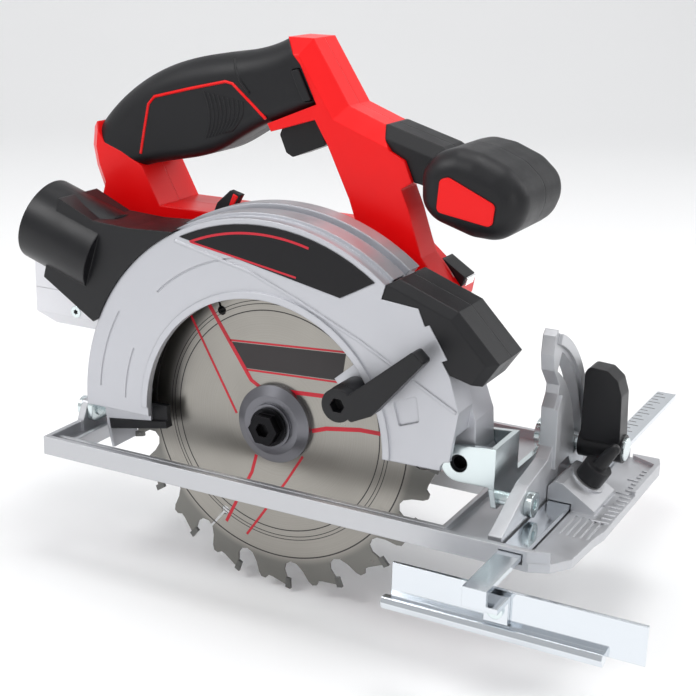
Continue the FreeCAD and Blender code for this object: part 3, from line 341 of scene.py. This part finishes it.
# %% [markdown]
# ## Print on the blade
# Blades are screen printed with thin rings that mark the tooth zone and with a maker's design in one or two
# inks.
# The rings and the bar are bands a few hundredths of a millimetre proud; all names and words are left out.
# They ride with the blade, so they turn when it turns.

# %% Blade print
face0, face1 = BLADE_FACE - INK, BLADE_FACE + INK
ring_bands = [ribbon(arc(r, 0, 360, 180)[:-1], w, face0, face1, closed=True)
              for r, w in ((52.8, 0.5), (55.8, 0.35), (57.4, 0.35), (66.3, 0.6))]
piece("blade_rings", ring_bands, MATS["black_ink"], "arbor")
band_outline = [(-24.5, 63.2), (35.0, 67.3), (33.3, 54.5), (-16.1, 51.9)]
piece("blade_bar", [prism(band_outline, face0, face1)], MATS["black_ink"], "arbor")
top = (face0 - 0.03, face1)      # the red is printed over the black
red_lines = [ribbon([(-36.5, 79.4), (-13.5, 46.6), (-8.0, 43.6), (27.9, 46.0), (40.0, 46.4)], 2.0, *top),
             ribbon([(-46.4, 72.5), (-21.3, 29.0)], 1.2, *top),
             ribbon([(-24.9, 63.9), (35.4, 68.1)], 0.9, *top),
             ribbon([(-15.9, 51.2), (33.6, 53.7)], 0.9, *top),
             ribbon([(18.7, 28.0), (26.0, 30.6), (42.9, 33.3), (53.0, 33.5)], 2.0, *top),
             ribbon([(-10.5, 10.5), (-12.9, 1.3), (-21.1, -14.8), (-27.0, -27.0)], 1.6, *top),
             ribbon([(14.2, 14.7), (6.0, 1.1), (-5.6, -16.4), (-15.5, -31.0)], 1.2, *top)]
piece("blade_red_lines", red_lines, MATS["red_ink"], "arbor")
print("blade print:", len(ring_bands), "rings, 1 bar,", len(red_lines), "red lines")

# %% [markdown]
# ## Badge border
# The badge is a black film let into the guard, with a red rule a little inside its edge.
# Its upper line keeps to an arc about the blade's axis, as the film's edge does; the lower line is straight.

# %% Badge border
rule = arc(90.6, 75, 114, 40)
lower_rule = [(-36.0, 111.2), (17.5, 102.4)]
film = (GUARD_FACE - 0.06, GUARD_FACE + 0.1)
piece("badge_rule", [ribbon(rule, 1.1, *film), ribbon(lower_rule, 0.9, *film)], MATS["red_ink"], "saw")
print("badge rule points:", len(rule))

# %% [markdown]
# ## Piping and ribs on the grip
# Where the hard shell shows through the soft overmould it makes a thin red bead round the palm panel.
# Inside the panel are low moulded ribs that stop the hand from slipping; they bend with the panel's front
# edge.
# A short bead marks the parting line that runs down from the top of the grip.

# %% Grip trim
bead = [(-92.5, 139.6), (-90.0, 152.0), (-87.5, 163.6), (-84.0, 167.4), (-64.0, 172.6), (-44.4, 177.2),
        (-40.7, 176.6), (-31.0, 168.8), (-22.9, 162.0)]
bead = [(x, GRIP_FACE + 0.15, z) for x, z in bead]
piece("grip_piping", [sweep(bead, 0.75)], MATS["red_plastic"], "saw")
RIB_COUNT, RIB_POINTS, RIB_SPACING, RIB_TOP = 9, 9, 2.6, 172.0
grip_ribs = []
for i in range(RIB_COUNT):
    x = -56.0 + RIB_SPACING * i
    drop = 2.7 - 0.12 * i            # each rib is a little shorter than the one behind it
    line = [(x + 3.2 * math.sin(t * 0.35) - 0.9 * i * (t / 8), GRIP_FACE + 0.25, RIB_TOP - i * 0.4 - t * drop)
            for t in range(RIB_POINTS)]
    grip_ribs.append(sweep(line, 0.62))
piece("grip_ribs", grip_ribs, MATS["soft_grip"], "saw")
ridge = [(-42.0, 31.2, 187.3), (-39.5, 28.1, 183.3), (-36.4, GRIP_FACE, 178.0), (-31.6, GRIP_FACE, 172.7)]
piece("grip_ridge", [sweep(ridge, 0.7)], MATS["soft_grip"], "saw")
print("grip ribs:", len(grip_ribs))

# %% [markdown]
# ## Small moulded and marked details
# The depth lever ends in a red finger pad, and the rail and the sole carry marks that line up with the cut.
# The marks on the rail are shallow dark scores every five millimetres, longer at each ten.
# The sole's front edge is cast with a comb of short ribs, which the eye reads as a cutting-width scale.
# Where the sole has a rim, the ribs stop at it.

# %% Lever pad, rail marks, sole ribs and the battery screw
pad = [(-38.6, 121.6), (-36.6, 120.4), (-33.4, 126.2), (-36.2, 127.4)]
piece("depth_lever_pad", [prism(pad, 20.5, 24.3)], MATS["red_plastic"], "depth_lever", bevel=0.4)
RAIL_EDGE, FIRST_MARK, MARK_STEP, MARK_WIDE = 122.6, 52.0, 5.0, 0.45
marks = []
for k in range(30):
    y = FIRST_MARK + MARK_STEP * k
    length = 6.0 if k % 2 == 0 else 3.6
    marks.append(slab(RAIL_EDGE, RAIL_EDGE + length, y, y + MARK_WIDE, 6.9, 7.05))
piece("rail_marks", marks, MATS["black_ink"], "rip_fence")
SOLE_FRONT, RIM_INSIDE, RIM_FROM_Y = 151.2, 149.6, 60.0
FIRST_RIB, RIB_STEP, RIB_WIDE = 24.0, 4.4, 1.3
sole_ribs = []
for k in range(16):
    y = FIRST_RIB + RIB_STEP * k
    x0 = 146.2 if k % 4 else 143.2
    x1 = RIM_INSIDE if y + RIB_WIDE > RIM_FROM_Y else SOLE_FRONT
    sole_ribs.append(slab(x0, x1, y, y + RIB_WIDE, 3.7, 4.5))
piece("sole_ribs", sole_ribs, MATS["cast_aluminium"], "base", bevel=0.25)
SCREW_AT = (-135.0, 54.0)
head, star = rosette(SCREW_AT, (3.1,), 32), rosette(SCREW_AT, (1.0, 1.5), 12)
piece("battery_screw", [prism(head, 26.7, 27.3)], MATS["zinc_steel"], "battery", bevel=0.15)
# The socket is painted shade: a dark star laid over the screw head in place of the shadow inside its drive
# recess.
piece("battery_screw_recess_shade", [prism(star, 26.62, 26.9)], MATS["black_oxide"], "battery")
print("rail marks:", len(marks), "sole ribs:", len(sole_ribs))

# %% [markdown]
# ## Lamp lens
# The work light is a black housing with a small clear polycarbonate lens that faces the cut.
# The lens is a thin clear solid, so it picks up a bright edge without a light of its own.

# %% Lens
lens_mat = finish("Clear lens", "#F2F6F8", 0.08, grain=1.0, depth=0.002, vary=0.02, edge=0.3,
                  Transmission_Weight=0.9, IOR=1.58)
lens = [(71.1, 97.2), (72.1, 97.0), (71.0, 93.2), (70.1, 93.9)]
piece("lamp_lens", [prism(lens, 45.0, 54.0)], lens_mat, "saw", bevel=0.1)
print("lens added")

# %% [markdown]
# ## Studio
# A pale sweep behind and below keeps the outline clean, as in a catalogue.
# It is one sheet bent through a quarter circle, so no corner shows between floor and wall.

# %% Floor
scene = bpy.context.scene
floor_mat = bpy.data.materials.new("Pale studio floor")
floor_mat.use_nodes = True
tree = floor_mat.node_tree
tree.nodes.clear()
place = add(tree, "TexCoord").outputs["Object"]
cloud = add(tree, "TexNoise", {"Vector": place}, Scale=1 / (330 * MM), Detail=2.0)
pale = add(tree, "MixRGB", {"Fac": cloud.outputs["Fac"]}, Color1=linear("#FBFBFB"), Color2=linear("#FEFEFE"))
shader = add(tree, "BsdfPrincipled", {"Base Color": pale.outputs["Color"]}, Roughness=0.7)
add(tree, "OutputMaterial", {"Surface": shader.outputs["BSDF"]})
FLOOR_Z, SWEEP_START, SWEEP_R, SWEEP_TOP, HALF_WIDTH = -0.0555, 1.4, 0.8, 4.0, 4    # m
back = Vector((-0.4808, 0.8768, 0.0))
side = Vector((0.8768, 0.4808, 0.0))
bend = [math.pi / 24 * t for t in range(1, 13)]
profile = [(-3.0, 0.0), (SWEEP_START, 0.0)]
profile += [(SWEEP_START + SWEEP_R * math.sin(t), SWEEP_R - SWEEP_R * math.cos(t)) for t in bend]
profile += [(SWEEP_START + SWEEP_R, SWEEP_TOP)]
verts = [tuple(back * d + side * w + Vector((0, 0, h + FLOOR_Z)))
         for d, h in profile for w in (-HALF_WIDTH, HALF_WIDTH)]
faces = [(2 * i, 2 * i + 1, 2 * i + 3, 2 * i + 2) for i in range(len(profile) - 1)]
mesh = bpy.data.meshes.new("studio_sweep")
mesh.from_pydata(verts, [], faces)
mesh.shade_smooth()
mesh.materials.append(floor_mat)
sweep_object = bpy.data.objects.new("studio_sweep", mesh)
scene.collection.objects.link(sweep_object)
print("floor strips:", len(faces))

# %% [markdown]
# ## Soft light
# The air gives an even base, and four area lights shape it, each a plain rectangle turned to the saw's
# middle.
# A large soft key from the upper left shows the shape of the guard, a weaker fill opens the black plastics,
# one from above lifts the handle, and a narrow strip from behind draws bright edges on the castings and the
# fence.

# %% Air and area lights
world = bpy.data.worlds.new("Studio air")
scene.world = world
world.use_nodes = True
world.node_tree.nodes["Background"].inputs["Color"].default_value = linear("#F7F8FA")
world.node_tree.nodes["Background"].inputs["Strength"].default_value = 0.62


MIDDLE = (0.0, 0.03, 0.08)


def soft_light(name, at, power, wide, tall):
    """A rectangular light at a place, turned to the saw's middle; power in watts, sides in metres."""
    data = bpy.data.lights.new(name, "AREA")
    data.shape, data.size, data.size_y, data.energy = "RECTANGLE", wide, tall, power
    lamp = bpy.data.objects.new(name, data)
    lamp.location = at
    lamp.rotation_euler = (Vector(MIDDLE) - Vector(at)).to_track_quat("-Z", "Y").to_euler()
    scene.collection.objects.link(lamp)


soft_light("key", (-0.75, -0.85, 1.15), 9, 0.6, 0.6)
soft_light("fill", (1.2, -0.9, 0.5), 3, 0.5, 0.9)
soft_light("top", (0.1, 0.15, 1.3), 6, 0.7, 0.5)
soft_light("edge", (0.9, 0.9, 0.8), 5, 0.25, 1.0)

# %% [markdown]
# ## Camera
# The saw is seen from its blade side and a little in front, from above the sole, with the camera rolled by
# a degree.
# The three angles give the camera's own axes, so that they can be read and changed one at a time.

# %% Camera
ROUND, DOWN, ROLL = math.radians(28.754), math.radians(17.399), math.radians(1.049)
CAMERA_AT = (0.30356, -0.52104, 0.25238)
camera_data = bpy.data.cameras.new("camera")
camera = bpy.data.objects.new("camera", camera_data)
forward = Vector((-math.sin(ROUND) * math.cos(DOWN), math.cos(ROUND) * math.cos(DOWN), -math.sin(DOWN)))
level = Vector((math.cos(ROUND), math.sin(ROUND), 0.0))
upright = level.cross(forward)
right = level * math.cos(ROLL) + upright * math.sin(ROLL)
up = upright * math.cos(ROLL) - level * math.sin(ROLL)
camera.matrix_world = Matrix.Translation(CAMERA_AT) @ Matrix((right, up, -forward)).transposed().to_4x4()
camera_data.lens, camera_data.sensor_width = 72.57, 36.0
camera_data.shift_x, camera_data.shift_y = 0.0529, 0.0033
camera_data.clip_start = 0.05
scene.collection.objects.link(camera)
scene.camera = camera
scene.view_settings.view_transform = "Standard"
print("lens:", camera_data.lens, "mm")
